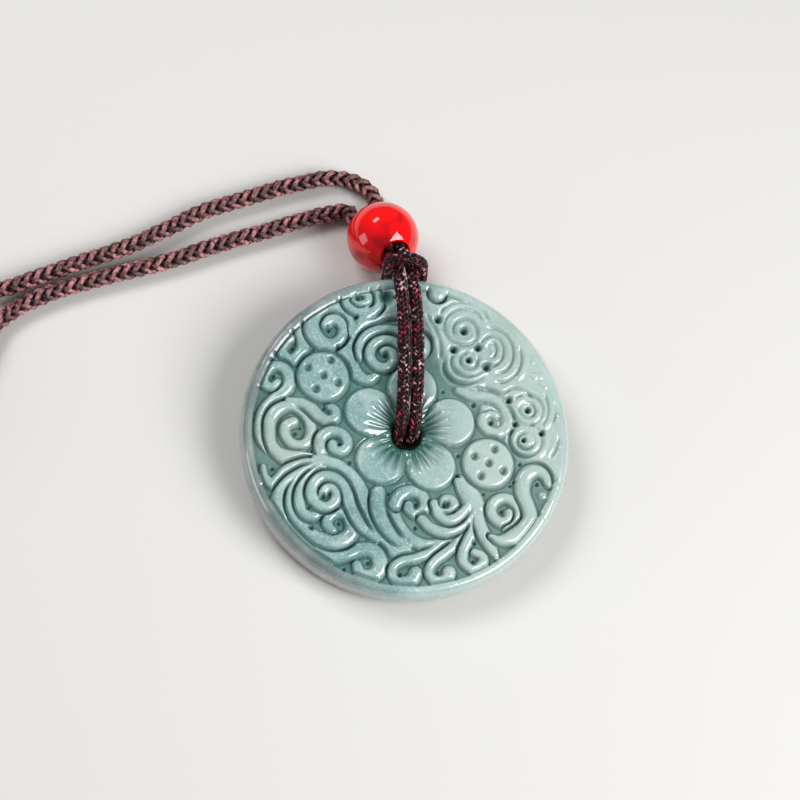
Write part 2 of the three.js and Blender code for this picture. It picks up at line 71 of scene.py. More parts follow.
RELIEF_RINGS = 140
INNER_RING = 13
scrolls = [
    dict(path=[(-0.6, 14.0), (-2.8, 13.9), (-4.7, 12.9), (-6.0, 11.3), (-6.6, 9.4), (-6.3, 7.6), (-5.4, 6.3),
               (-4.3, 5.8), (-3.4, 6.3)], widths=[.9, 1.1, 1.1, .9, .8, .8, .8, .6, .4]),
    dict(path=[(-5.2, 8.2), (-5.3, 9.4), (-4.6, 10.7), (-3.4, 11.4), (-2.0, 11.6), (-0.6, 11.3)],
         widths=[.25, .4, .45, .5, .5, .5]),
    dict(eye=(-2.5, 8.6), start=100, sweep=-430, radii=[.5, 1.0, 1.3, 1.5, 1.75, 2.1],
         widths=[.4, .5, .5, .45, .45]),
    dict(path=[(-12.6, 10.0), (-13.2, 9.5), (-13.55, 8.7), (-13.2, 7.95), (-12.4, 7.65), (-11.65, 8.2),
               (-11.25, 9.2), (-11.45, 10.3), (-11.6, 11.2), (-11.1, 12.2), (-10.2, 13.1)],
         widths=[.4, .5, .6, .6, .5, .5], merge="end"),
    dict(path=[(-8.95, 11.75), (-8.5, 12.3), (-7.8, 12.45), (-7.15, 12.0), (-6.95, 11.1), (-7.35, 10.15),
               (-8.3, 9.6), (-9.4, 9.8), (-10.2, 10.7), (-10.4, 11.9), (-9.9, 13.1), (-8.8, 13.9),
               (-7.6, 13.8), (-6.7, 13.1), (-6.2, 12.1), (-6.1, 11.1)],
         widths=[.45, .55, .5, .5, .6, .75, .75, .7, .6, .55, .45, .4, .3], merge="end"),
    dict(path=[(-4.6, 16.2), (-3.7, 15.9), (-3.1, 15.2), (-3.1, 14.3), (-3.8, 13.5), (-4.9, 13.0)],
         widths=[.3, .4, .45, .45, .3], merge="end"),
    dict(path=[(-5.95, 14.75), (-5.3, 14.35), (-4.55, 14.5), (-4.25, 15.1), (-4.7, 15.7), (-5.6, 15.85),
               (-6.4, 15.4), (-6.7, 14.6), (-6.3, 13.85), (-5.4, 13.45), (-4.4, 13.55)],
         widths=[.3, .4, .4, .4, .4, .45, .5], merge="end"),
    dict(path=[(-13.95, 5.0), (-14.4, 4.55), (-15.1, 4.6), (-15.5, 5.3), (-15.25, 6.2), (-14.4, 6.85),
               (-13.4, 6.7), (-12.75, 5.9), (-12.75, 4.8), (-13.4, 3.9), (-14.4, 3.1), (-15.3, 2.0),
               (-15.75, 0.7), (-15.75, -0.7), (-15.2, -2.0), (-14.2, -2.9)],
         widths=[.4, .5, .5, .5, .55, .6, .55, .5, .45, .45, .45, .3], merge="end"),
    dict(path=[(-12.2, 0.75), (-12.95, 0.3), (-13.05, -0.6), (-12.5, -1.5), (-11.6, -1.8), (-10.7, -1.4),
               (-10.3, -0.4), (-10.5, 0.9), (-11.4, 2.0), (-12.6, 2.5), (-13.9, 2.0), (-14.6, 0.9),
               (-14.7, -0.4), (-14.5, -1.7), (-13.7, -2.8), (-12.3, -3.3), (-10.9, -3.3), (-9.6, -3.4),
               (-8.3, -3.8)], widths=[.5, .5, .5, .5, .5, .5, .55, .6, .55, .5, .7, .9, .5, .3],
         merge="end"),
    dict(path=[(-8.35, 2.6), (-7.75, 2.2), (-7.8, 1.4), (-8.6, 1.05), (-9.5, 1.5), (-10.3, 2.3),
               (-11.4, 2.9), (-12.8, 3.1)], widths=[.4, .5, .55, .6, .5, .3], merge="end"),
    dict(eye=(-7.6, -1.45), start=190, sweep=415, radii=[.4, .8, 1.15, 1.3, 1.75, 2.0],
         widths=[.45, .5, .5, .5, .55, .5, .3], tail=[(-8.0, -3.6)], merge="end"),
    dict(path=[(-15.3, -4.3), (-15.1, -5.4), (-14.3, -6.1), (-13.5, -5.5), (-12.8, -4.7), (-11.8, -4.05),
               (-10.6, -3.7), (-9.3, -3.85), (-8.0, -4.15)], widths=[.25, .5, .65, .5, .5, .3], merge="end"),
    dict(path=[(-9.8, -3.2), (-8.6, -3.4), (-7.3, -3.9), (-6.2, -4.7), (-5.3, -5.9), (-4.8, -7.3),
               (-4.5, -8.8), (-3.9, -10.3), (-2.9, -11.6), (-1.5, -12.5), (0.4, -12.9), (2.3, -12.5),
               (4.2, -11.6), (5.6, -10.6)], widths=[.4, .6, .65, .75, .9, .9, .9, .8, .6, .3], merge="both"),
    dict(path=[(-9.4, -4.1), (-11.0, -4.8), (-12.5, -6.0), (-13.4, -7.6), (-13.3, -9.2), (-12.4, -10.7),
               (-11.2, -12.0), (-9.7, -13.0), (-8.0, -13.6), (-6.5, -13.4), (-5.3, -12.9), (-4.1, -12.75),
               (-3.2, -13.3), (-2.85, -14.3), (-3.2, -15.2), (-4.1, -15.6), (-5.0, -15.3), (-5.3, -14.5)],
         widths=[.3, .6, .7, .8, .9, .9, .85, .8, .7, .65, .65, .7, .7, .6, .45], merge="start"),
    dict(path=[(-7.95, -10.9), (-8.45, -10.3), (-8.3, -9.5), (-7.5, -9.0), (-6.5, -9.2), (-5.9, -10.1),
               (-5.95, -11.1), (-6.8, -11.9), (-8.1, -12.1), (-9.5, -11.7), (-10.8, -10.8), (-11.9, -9.6),
               (-12.4, -8.1), (-12.2, -6.7), (-11.3, -5.5)], widths=[.45, .5, .5, .6, .7, .7, .65, .5, .45,
                                                                     .45, .4, .3], merge="end"),
    dict(path=[(-9.35, -8.95), (-9.9, -9.45), (-10.75, -9.3), (-11.35, -8.4), (-11.4, -7.1), (-10.9, -5.9),
               (-10.0, -4.9), (-8.9, -4.3)], widths=[.4, .5, .5, .5, .45, .3], merge="end"),
    dict(path=[(-9.0, -6.9), (-8.6, -6.35), (-7.9, -6.35), (-7.5, -7.0), (-7.8, -7.9), (-8.7, -8.4),
               (-9.7, -8.0), (-10.2, -7.0), (-9.95, -5.9), (-9.1, -5.1), (-8.0, -5.1), (-7.0, -5.8),
               (-6.4, -7.0), (-6.0, -8.3), (-5.3, -9.7), (-4.4, -10.9), (-3.2, -11.8)],
         widths=[.4, .45, .5, .5, .55, .5, .5, .5, .55, .55, .55, .45, .25], merge="end"),
    dict(path=[(5.6, -4.9), (6.2, -5.8), (6.9, -6.9), (7.3, -8.2), (7.2, -9.6), (6.8, -10.8)],
         widths=[.55, .85, 1.0, 1.0, .8, .4], merge="end"),
    dict(path=[(7.2, -7.6), (6.8, -9.2), (6.0, -10.4), (4.8, -11.3), (3.2, -11.95), (1.5, -12.0),
               (0.2, -11.4), (-0.8, -10.3), (-1.35, -9.0), (-1.35, -7.8)],
         widths=[.7, .6, .5, .5, .6, .6, .5], merge="start"),
    dict(path=[(-3.1, -6.6), (-3.2, -7.8), (-2.9, -9.2), (-2.2, -10.5), (-1.2, -11.6), (0.2, -12.3)],
         widths=[.65, .7, .65, .5, .25], merge="end"),
    dict(eye=(0.65, -7.8), start=190, sweep=350, radii=[.5, 1.0, 1.25, 1.45, 1.95],
         widths=[.45, .5, .55, .6, .6]),
    dict(path=[(1.6, -9.4), (2.4, -10.2), (3.6, -10.6), (4.8, -10.4), (5.9, -9.7), (6.7, -8.8), (7.1, -7.6)],
         widths=[.5, .55, .5, .5, .45], merge="end"),
    dict(path=[(3.6, -7.6), (4.1, -6.95), (4.85, -7.15), (5.0, -7.95), (4.3, -8.6), (3.35, -8.45),
               (2.9, -7.6)], widths=[.3, .4, .45, .45, .5, .45]),
    dict(path=[(2.95, -7.9), (3.3, -8.9), (4.3, -9.35), (5.3, -9.0), (6.1, -8.2), (6.7, -7.3)],
         widths=[.35, .45, .5, .45, .3], merge="both"),
    dict(path=[(0.9, -15.1), (0.55, -15.75), (-0.4, -16.15), (-1.4, -15.7), (-1.55, -14.7), (-0.7, -13.95),
               (0.7, -13.6), (2.2, -13.0), (3.6, -12.2)], widths=[.6, .55, .4, .45, .45, .3], merge="end"),
    dict(path=[(4.45, -14.9), (4.2, -15.6), (3.3, -15.95), (2.45, -15.5), (2.3, -14.7), (2.9, -13.8),
               (4.0, -12.9), (5.1, -12.0), (6.0, -11.0)], widths=[.6, .5, .4, .45, .45, .3], merge="end"),
    dict(path=[(7.15, -12.7), (8.0, -13.1), (7.95, -14.0), (6.95, -14.5), (6.0, -13.9), (5.9, -12.8),
               (6.4, -11.6), (7.0, -10.4), (7.3, -9.0)], widths=[.4, .5, .45, .5, .5, .4], merge="end"),
    dict(path=[(9.45, -13.1), (8.8, -11.9), (8.1, -10.6), (7.7, -9.2), (7.5, -8.2)],
         widths=[.3, .6, .65, .55, .4], merge="end"),
    dict(eye=(10.2, -8.25), start=-5, sweep=-430, radii=[.8, 1.1, 1.1, 1.35, 1.65, 1.75, 1.7],
         widths=[.5, .55, .5, .5, .55, .6, .5]),
    dict(path=[(15.25, -5.0), (14.9, -4.1), (14.1, -3.55), (13.1, -3.8), (12.5, -4.8), (12.45, -6.1),
               (12.95, -7.4), (13.2, -8.7), (12.6, -9.9), (11.3, -10.9), (9.9, -11.3), (8.9, -10.9)],
         widths=[.35, .55, .7, .75, .7, .65, .7, .75, .75, .55, .25]),
    dict(eye=(9.35, 1.75), start=75, sweep=410, radii=[.75, 1.2, 1.15, 1.45, 1.6, 1.65],
         widths=[.45, .5, .55, .55, .6, .5], floor=.35),
    dict(path=[(5.6, 5.0), (6.8, 4.6), (8.2, 4.5), (9.6, 4.1), (10.6, 3.0), (11.0, 1.6)],
         widths=[.4, .6, .5, .45, .3], floor=.4, merge="both"),
]

# The upper right is carved more shallowly: thin grooves in a nearly level field.
grooves = [
    dict(eye=(6.2, 11.75), start=230, sweep=-260, radii=[1.1, 1.25, 1.4, 1.5]),
    dict(eye=(6.2, 12.0), start=20, sweep=330, radii=[2.35, 2.3, 2.2, 1.9, 1.7]),
    dict(path=[(3.5, 13.4), (4.2, 14.4), (5.6, 15.0), (7.2, 14.9), (8.4, 14.1), (9.0, 12.9)]),
    dict(path=[(3.4, 14.6), (4.6, 15.5), (6.0, 15.8), (7.6, 15.5), (9.4, 14.3)]),
    dict(eye=(6.65, 8.4), start=70, sweep=330, radii=[.8, .95, 1.05]),
    dict(path=[(5.1, 9.3), (4.8, 8.2), (5.3, 7.1), (6.5, 6.6), (7.6, 6.9), (8.5, 7.7)]),
    dict(path=[(4.0, 8.6), (4.1, 7.2), (4.9, 6.2), (6.2, 5.8), (7.5, 6.1), (8.6, 6.9)]),
    dict(path=[(7.8, 10.1), (8.5, 11.0), (9.4, 11.3), (10.2, 10.8), (10.5, 9.8), (10.3, 8.7), (9.6, 8.0),
               (8.7, 7.8)]),
    dict(path=[(8.8, 10.4), (9.5, 10.5), (9.8, 9.8), (9.5, 9.0), (9.0, 8.9)]),
    dict(path=[(8.6, 12.3), (9.8, 12.1), (11.0, 11.3), (11.6, 10.0), (11.5, 8.6), (10.8, 7.5), (9.7, 7.0)]),
    dict(path=[(9.4, 6.0), (10.9, 6.3), (12.1, 7.4), (12.5, 8.9), (12.2, 10.4)]),
    dict(path=[(8.2, 5.5), (9.3, 5.2), (10.4, 4.9), (11.6, 5.5), (12.9, 5.2), (13.8, 4.2)]),
    dict(eye=(13.1, 3.1), start=110, sweep=-330, radii=[.75, .85, 1.0]),
    dict(eye=(13.1, 3.1), start=150, sweep=-330, radii=[1.8, 1.65, 1.6]),
    dict(eye=(12.8, -0.3), start=60, sweep=300, radii=[.7, .85, 1.0]),
    dict(eye=(12.8, -0.3), start=120, sweep=320, radii=[1.7, 1.7, 1.9]),
    dict(path=[(14.9, 5.2), (15.3, 3.8), (15.2, 2.4), (14.4, 1.2)]),
    dict(path=[(16.0, 4.4), (16.2, 3.0), (15.8, 1.6)]),
    dict(path=[(16.4, 0.4), (16.2, -1.0), (15.4, -2.3)]),
    dict(path=[(1.9, 13.6), (2.9, 12.1), (3.6, 10.2), (3.7, 8.4)]),
]
pearls = [(13.8, 8.7, .25), (13.9, 7.0, .3), (14.5, 7.0, .25), (14.7, 6.2, .25), (15.1, 5.9, .22),
          (14.6, -6.25, .5)]
bosses = [(3.3, 16.0, 1.0), (0.92, 9.95, 1.7)]
drilled = [
    (-8.6, 11.2, .5), (-12.45, 8.9, .5), (-14.45, 5.7, .5), (-5.4, 15.05, .5), (-12.05, -0.55, .55),
    (-11.5, 0.1, .35), (-9.0, 2.35, .45), (-7.2, -1.45, .35), (-14.35, -4.5, .5), (-8.95, -7.3, .4),
    (-10.45, -8.5, .45), (-10.1, -10.6, .45), (-7.3, -10.1, .5), (-4.15, -14.25, .55), (-6.7, -15.0, .5),
    (-0.8, -15.3, .45), (3.2, -15.0, .45), (7.0, -13.7, .45), (7.15, -11.7, .4), (-2.0, -6.7, .4),
    (0.95, -7.75, .45), (0.8, -10.3, .5), (3.95, -7.7, .45), (10.1, -8.2, .45), (14.0, -5.0, .5),
    (9.1, 1.6, .5), (13.1, 3.1, .4), (12.6, -0.25, .35), (11.05, 4.15, .45), (11.75, 1.55, .45),
    (14.6, 0.6, .4), (7.2, 3.5, .5), (6.2, 11.75, .5), (3.35, 12.95, .5), (5.05, 9.6, .5), (7.75, 9.95, .5),
    (8.65, 7.8, .55), (6.7, 8.5, .4), (-2.4, 8.6, .5), (-7.5, 9.2, .35), (-10.2, 8.9, .45),
    (-5.6, 12.8, .35), (12.2, -2.9, .4), (-6.2, -3.45, .5), (5.5, -2.2, .5), (5.4, -4.4, .4),
    (-2.2, 15.3, 1.0), (3.9, 4.9, .4), (-10.2, -2.3, .35), (8.2, -6.3, .4), (11.1, -5.3, .4),
    (-14.6, 7.6, .35), (11.5, -4.9, .3)]
POD_RADIUS = 2.85
pods = [
    ((-9.1, 5.9), [(-10.7, 6.75), (-8.3, 7.7), (-9.05, 5.95), (-7.5, 5.2), (-9.85, 4.4)]),
    ((8.7, -2.95), [(7.2, -2.3), (9.4, -1.45), (8.75, -3.0), (10.3, -3.8), (7.9, -4.45)])]
FLOWER_CENTRE = (0.15, 0.45)
PETAL_COUNT = 5
PETAL_REACH = 4.6
PETAL_RADIUS = 2.75
PETAL_TURN = 85
PETAL_ORDER = (0, 1, 4, 3, 2)
GROUND_LEVEL = 0.12
SHALLOW_LEVEL = 0.85
SHALLOW_GROOVE = 0.4
GROOVE = 0.34
MERGE_LENGTH = 2.2
SAME_TURN = 2.6
SCROLL_WIDENING = 1.25
FLUTE_HEIGHT = 0.14
FLUTE_ANGLE = 13
DEEPEST_CUT = -0.45
HIGHEST_TOP = 1.05
RING_GROWTH = 8
EDGE_ANGLES = (0, 18, 36, 54, 72, 90)


def smooth(value):
    value = np.clip(value, 0, 1)
    return value * value * (3 - 2 * value)


def catmull(points, steps):
    points = np.asarray(points, float)
    if len(points) == 2:
        return points[0] + np.linspace(0, 1, steps + 1)[:, None] * (points[1] - points[0])
    ends = np.vstack([2 * points[0] - points[1], points, 2 * points[-1] - points[-2]])
    line = []
    for i in range(1, len(ends) - 2):
        t = np.linspace(0, 1, steps, endpoint=False)[:, None]
        a, b, c, d = ends[i - 1:i + 3]
        line.append(0.5 * (2 * b + (c - a) * t + (2 * a - 5 * b + 4 * c - d) * t ** 2
                           + (3 * b - a - 3 * c + d) * t ** 3))
    line.append(points[-1][None])
    return np.vstack(line)


def centreline(scroll):
    if "path" in scroll:
        return catmull(scroll["path"], 8)
    count = max(8, int(abs(scroll["sweep"]) / 30))
    share = np.linspace(0, 1, count + 1)
    angles = np.radians(scroll["start"] + scroll["sweep"] * share)
    radii = np.interp(share, np.linspace(0, 1, len(scroll["radii"])), scroll["radii"])
    points = [(scroll["eye"][0] + r * math.cos(a), scroll["eye"][1] + r * math.sin(a))
              for r, a in zip(radii, angles)]
    return catmull(points + list(scroll.get("tail", [])), 4)


def along(line):
    """The length along a line at each of its points."""
    return np.concatenate([[0], np.cumsum(np.linalg.norm(np.diff(line, axis=0), axis=1))])


def lay(height, outside, own, gap, floor=0.02, free=1.0):
    """Sets a motif on the field: its own height inside, and a groove down to the floor round it.
    Where free falls to 0, the motif merges with what is there already."""
    groove = floor + (1 - floor) * smooth(outside / gap - 0.3) + np.clip(outside - 1.3 * gap, 0, 9)
    merged = np.where(outside > 0, height, np.maximum(height, own))
    return merged + free * (np.where(outside > 0, np.minimum(height, groove), own) - merged)


def ribbon(x, y, line, width, free, places):
    """For each point: how far it is outside a ribbon, its share of the half width, how free the ribbon
    is of its neighbours there, and how far the point is outside the ribbon's other turns."""
    steps = np.diff(line, axis=0)
    lengths = (steps ** 2).sum(1)
    from_start = np.stack([x, y], 1)[:, None] - line[None, :-1]
    t = np.clip((from_start * steps).sum(2) / lengths, 0, 1)
    distance = np.sqrt(((from_start - t[:, :, None] * steps) ** 2).sum(2))
    local = width[:-1] + t * (width[1:] - width[:-1])
    outside = distance - local
    best = outside.argmin(1)
    rows = np.arange(len(x))
    apart = np.abs(places[:-1][None] - places[best][:, None]) > SAME_TURN
    other = np.where(apart, outside, 9.0).min(1)
    profile = np.clip(distance[rows, best] / local[rows, best], 0, 1)
    free_here = free[best] + t[rows, best] * (free[best + 1] - free[best])
    return outside[rows, best], profile, free_here, other


def carve(x_all, y_all):
    """Height of the carving over its ground, as a share of the carving's depth."""
    shallow = smooth((0.75 * x_all + 0.66 * y_all - 7.0) / 3.0)
    height = GROUND_LEVEL + (SHALLOW_LEVEL - GROUND_LEVEL) * shallow
    for scroll in scrolls:
        line = centreline(scroll)
        places = along(line)
        width = SCROLL_WIDENING * np.interp(places / places[-1], np.linspace(0, 1, len(scroll["widths"])),
                                            scroll["widths"])
        free = np.ones(len(line))
        if scroll.get("merge") in ("start", "both"):
            free *= smooth(places / MERGE_LENGTH)
        if scroll.get("merge") in ("end", "both"):
            free *= smooth((places[-1] - places) / MERGE_LENGTH)
        low, high = line.min(0) - 1.6, line.max(0) + 1.6
        near = (x_all > low[0]) & (x_all < high[0]) & (y_all > low[1]) & (y_all < high[1])
        outside, profile, free_here, other = ribbon(x_all[near], y_all[near], line, width, free, places)
        own = (1 - profile ** 2.2) ** 0.58 * (0.94 + 0.1 * profile ** 2)
        floor = scroll.get("floor", 0.0)
        own = np.minimum(own, floor + 1.1 * smooth((other - outside) / (2.2 * GROOVE) + 0.12))
        height[near] = lay(height[near], outside, own, GROOVE, floor, free_here)
    for groove in grooves:
        line = centreline(groove)
        near = ((x_all > line[:, 0].min() - 1) & (x_all < line[:, 0].max() + 1)
                & (y_all > line[:, 1].min() - 1) & (y_all < line[:, 1].max() + 1))
        places = along(line)
        ends = np.minimum(places, places[-1] - places)
        away = np.hypot(x_all[near, None] - line[:, 0], y_all[near, None] - line[:, 1])
        closest = away.argmin(1)
        depth = SHALLOW_GROOVE * smooth(ends[closest] / 0.9 + 0.15)
        away = away.min(1)
        cut = depth * (0.45 * np.exp(-((away - 0.42) / 0.3) ** 2) - np.exp(-(away / 0.2) ** 2))
        height[near] = height[near] + cut
    for x, y, radius in pearls:
        height = height + 0.5 * np.exp(-(np.hypot(x_all - x, y_all - y) / radius) ** 4)
    for (x, y), dimples in pods:
        away = np.hypot(x_all - x, y_all - y)
        lip = 0.08 * np.exp(-((away - POD_RADIUS + 0.35) / 0.2) ** 2)
        own = (1 - np.clip(away / POD_RADIUS, 0, 1) ** 9) ** 0.6 * (0.98 + lip)
        height = lay(height, away - POD_RADIUS, own, 0.4)
        for dx, dy in dimples:
            away_dimple = np.hypot(x_all - dx, y_all - dy)
            mark = 0.05 * np.exp(-((away_dimple - 0.62) / 0.15) ** 2)
            mark = mark - 0.75 * np.exp(-(away_dimple / 0.42) ** 4)
            height = np.where(away < POD_RADIUS, height + mark, height)
    from_hole = np.hypot(x_all, y_all)
    for k in PETAL_ORDER:
        angle = math.radians(PETAL_TURN + 360 / PETAL_COUNT * k)
        x = x_all - FLOWER_CENTRE[0]
        y = y_all - FLOWER_CENTRE[1]
        out = x * math.cos(angle) + y * math.sin(angle)
        side = -x * math.sin(angle) + y * math.cos(angle)
        round_end = np.hypot(out - PETAL_REACH, side) - PETAL_RADIUS
        wedge = np.where((out > 0) & (out < PETAL_REACH), np.abs(side) - out * 0.60, 9.0)
        outside = np.minimum(round_end, wedge)
        inside = np.clip(-outside, 0, 9)
        bowl = -0.25 + 1.12 * smooth((from_hole - 1.7) / 3.5)
        own = bowl * (1 - np.exp(-(inside / 0.22) ** 1.2)) + 0.12 * np.exp(-((inside - 0.3) / 0.18) ** 2)
        flutes = np.cos(np.degrees(np.arctan2(side, out)) * 2 * math.pi / FLUTE_ANGLE)
        reach = smooth((from_hole - 1.8) / 0.6) * smooth((5.4 - from_hole) / 1.5)
        own = own + FLUTE_HEIGHT * flutes * reach * smooth(inside / 0.4)
        height = lay(height, outside, own, 0.22)
    for x, y, radius in drilled:
        away = np.hypot(x_all - x, y_all - y)
        pit = -0.3 + 1.4 * smooth(away / radius / 1.5)
        height = np.where(away < radius * 1.5, np.minimum(height, pit), height)
    to_rim = FIELD_RADIUS - from_hole
    bearing = np.degrees(np.arctan2(y_all, x_all))
    open_side = smooth((bearing + 25) / 15) * smooth((75 - bearing) / 10)
    half_open = smooth((bearing + 75) / 20) * smooth((75 - bearing) / 10)
    groove = smooth(to_rim / GROOVE - 0.1) + np.clip(to_rim - GROOVE, 0, 9)
    height = np.minimum(height, np.maximum(groove, np.maximum(0.9 * open_side, 0.3 + 0.15 * half_open)))
    rim = smooth(-to_rim / 0.3)
    height = height * (1 - rim) + rim
    for x, y, radius in bosses:
        away = np.hypot(x_all - x, y_all - y)
        height = lay(height, away - radius, (1 - np.clip(away / radius, 0, 1) ** 3) ** 0.6, GROOVE)
    return height


def mesh_from(name, points, faces, values=None):
    """A mesh from points in millimetres, quads or triangles, and per-point attributes."""
    mesh = bpy.data.meshes.new(name)
    mesh.from_pydata([tuple(p) for p in np.asarray(points) * MM], [],
                     [tuple(int(i) for i in f) for f in faces])
    for key, numbers in (values or {}).items():
        attribute = mesh.attributes.new(key, "FLOAT", "POINT")
        attribute.data.foreach_set("value", np.asarray(numbers, np.float32))
    mesh.update()
    return mesh


def disc_mesh():
    """Rings of points from the hole to the edge, then the rounded edge, the back and the hole's wall."""
    flat = DISC_RADIUS - EDGE_ROUNDING
    points, ring_start, ring_size = [], [], []
    for k in range(INNER_RING, RELIEF_RINGS + 1):
        count = RING_GROWTH * k
        share = (k - INNER_RING) / (RELIEF_RINGS - INNER_RING)
        radius = HOLE_RADIUS + (flat - HOLE_RADIUS) * share
        angles = 2 * math.pi * np.arange(count) / count
        ring_start.append(sum(ring_size))
        ring_size.append(count)
        points.append(np.stack([radius * np.cos(angles), radius * np.sin(angles)], 1))
    points = np.vstack(points)
    height = carve(points[:, 0], points[:, 1])
    faces = []
    for k in range(len(ring_size) - 1):
        inner, outer = ring_size[k], ring_size[k + 1]
        j = 0
        for i in range(inner):
            a, b = ring_start[k] + i, ring_start[k] + (i + 1) % inner
            while (j + 0.5) / outer < (i + 0.5) / inner:
                faces.append((a, ring_start[k + 1] + j % outer, ring_start[k + 1] + (j + 1) % outer))
                j += 1
            faces.append((a, ring_start[k + 1] + j % outer, b))
        while j < outer:
            faces.append((ring_start[k], ring_start[k + 1] + j % outer, ring_start[k + 1] + (j + 1) % outer))
            j += 1
    from_hole = np.hypot(points[:, 0], points[:, 1])
    level = FIELD_LEVEL + CARVING_DEPTH * np.clip(height, DEEPEST_CUT, HIGHEST_TOP)
    lip = smooth((HOLE_RADIUS + 0.5 - from_hole) / 0.5)
    level = np.minimum(level, DISC_THICKNESS) - 0.25 * lip ** 2
    grid = [np.column_stack([points, level])]
    # How deep each point lies below the tops: it drives the painted shade and the dulling of the recesses.
    hollow_shade_and_polish = [np.clip(1 - height, 0, 1.4)]
    total = len(points)
    outer_count = ring_size[-1]
    angles = 2 * math.pi * np.arange(outer_count) / outer_count
    last = ring_start[-1]
    profile = [(flat + EDGE_ROUNDING * math.sin(math.radians(a)),
                DISC_THICKNESS - EDGE_ROUNDING + EDGE_ROUNDING * math.cos(math.radians(a)))
               for a in EDGE_ANGLES[1:]]
    profile += [(flat + EDGE_ROUNDING * math.cos(math.radians(a)),
                 EDGE_ROUNDING - EDGE_ROUNDING * math.sin(math.radians(a)))
                for a in EDGE_ANGLES]
    profile += [(HOLE_RADIUS + 0.15, 0.0)]
    for radius, z in profile:
        grid.append(np.column_stack([radius * np.cos(angles), radius * np.sin(angles),
                                     np.full(outer_count, z)]))
        hollow_shade_and_polish.append(np.zeros(outer_count))
        for i in range(outer_count):
            k = (i + 1) % outer_count
            faces.append((last + i, total + i, total + k, last + k))
        last = total
        total += outer_count
    inner_count = ring_size[0]
    angles = 2 * math.pi * np.arange(inner_count) / inner_count
    grid.append(np.column_stack([HOLE_RADIUS * np.cos(angles), HOLE_RADIUS * np.sin(angles),
                                 np.full(inner_count, 0.15)]))
    hollow_shade_and_polish.append(np.zeros(inner_count))
    for i in range(inner_count):
        k = (i + 1) % inner_count
        faces.append((i, k, total + k, total + i))
    ratio = outer_count / inner_count
    j = 0
    for i in range(inner_count):
        while j + 0.5 < (i + 0.5) * ratio:
            faces.append((total + i, last + (j + 1) % outer_count, last + j % outer_count))
            j += 1
        faces.append((total + i, total + (i + 1) % inner_count, last + j % outer_count))
    while j < outer_count:
        faces.append((total, last + (j + 1) % outer_count, last + j % outer_count))
        j += 1
    local = np.vstack(grid)
    world = from_disc(*local.T).T + SHIFT
    return mesh_from("carved_jade", world, faces, {"hollow_shade_and_polish": np.concatenate(hollow_shade_and_polish)})


class Shade:
    """A value in a material's node tree, with arithmetic written as on numbers."""

    def __init__(self, tree, socket):
        self.tree = tree
        self.socket = socket

    def _math(self, operation, *values):
        return add_node(self.tree, "ShaderNodeMath", values, operation=operation)

    def __add__(self, other):
        return self._math("ADD", self, other)

    def __radd__(self, other):
        return self._math("ADD", other, self)

    def __rsub__(self, other):
        return self._math("SUBTRACT", other, self)

    def __mul__(self, other):
        return self._math("MULTIPLY", self, other)

    def __rmul__(self, other):
        return self._math("MULTIPLY", other, self)

    def between(self, low, high):
        return add_node(self.tree, "ShaderNodeMapRange", [self, low, high, 0.0, 1.0], clamp=True)


def add_node(tree, kind, inputs=(), output=0, **settings):
    """Adds a node, links or sets its inputs (a list, or a dict by name or number), returns an output."""
    node = tree.nodes.new(kind)
    for key, value in settings.items():
        setattr(node, key, value)
    pairs = inputs.items() if isinstance(inputs, dict) else enumerate(inputs)
    for key, value in pairs:
        if isinstance(value, Shade):
            tree.links.new(value.socket, node.inputs[key])
        elif value is not None:
            node.inputs[key].default_value = value
    return Shade(tree, node.outputs[output])


def new_material(name, **constants):
    """A Principled material; constants are set on the shader's own sockets."""
    material = bpy.data.materials.new(name)
    material.use_nodes = True
    shader = material.node_tree.nodes["Principled BSDF"]
    for key, value in constants.items():
        shader.inputs[key.replace("_", " ")].default_value = value
    return material, material.node_tree, shader


def noise(tree, scale, detail=3.0, roughness=0.5, vector=None):
    inputs = {"Scale": scale, "Detail": detail, "Roughness": roughness, "Vector": vector}
    return add_node(tree, "ShaderNodeTexNoise", inputs)


def attribute(tree, name):
    return add_node(tree, "ShaderNodeAttribute", output="Fac", attribute_name=name)


def mixed(tree, share, first, second):
    """A colour between two, each a colour tuple or a shade."""
    inputs = {0: share, 6: first, 7: second}
    return add_node(tree, "ShaderNodeMix", inputs, output=2, data_type="RGBA")


def feed(tree, shader, name, value):
    tree.links.new(value.socket, shader.inputs[name])


def bump(tree, shader, height, strength, distance):
    node = add_node(tree, "ShaderNodeBump", {"Height": height, "Strength": strength, "Distance": distance},
                    output="Normal")
    feed(tree, shader, "Normal", node)


def object_place(tree):
    return add_node(tree, "ShaderNodeTexCoord", output="Object")


WHITISH_PLACE = tuple((from_disc(-13.0, -1.5, DISC_THICKNESS) + SHIFT) * MM)
jade, tree, shader = new_material("polished_jade", IOR=1.6,
                                  Coat_Roughness=0.06, Coat_IOR=1.6, Subsurface_Weight=0.3,
                                  Subsurface_Radius=(0.7, 1.0, 0.85), Subsurface_Scale=0.0010)
place = object_place(tree)
clouds = noise(tree, 130.0, detail=4.0, roughness=0.55, vector=place)
veins = noise(tree, 420.0, detail=5.0, roughness=0.6, vector=place)
specks = noise(tree, 1500.0, detail=2.0, vector=place)
hollow_shade_and_polish = attribute(tree, "hollow_shade_and_polish")
stone = mixed(tree, clouds.between(0.36, 0.64), (0.165, 0.30, 0.285, 1), (0.30, 0.44, 0.415, 1))
stone = mixed(tree, veins.between(0.52, 0.74) * 0.6, stone, (0.50, 0.60, 0.58, 1))
grains = noise(tree, 3600.0, detail=2.0, roughness=0.6, vector=place)
stone = mixed(tree, grains.between(0.50, 0.68) * 0.5, stone, (0.52, 0.62, 0.62, 1))
stone = mixed(tree, specks.between(0.60, 0.75) * 0.35, stone, (0.10, 0.20, 0.185, 1))
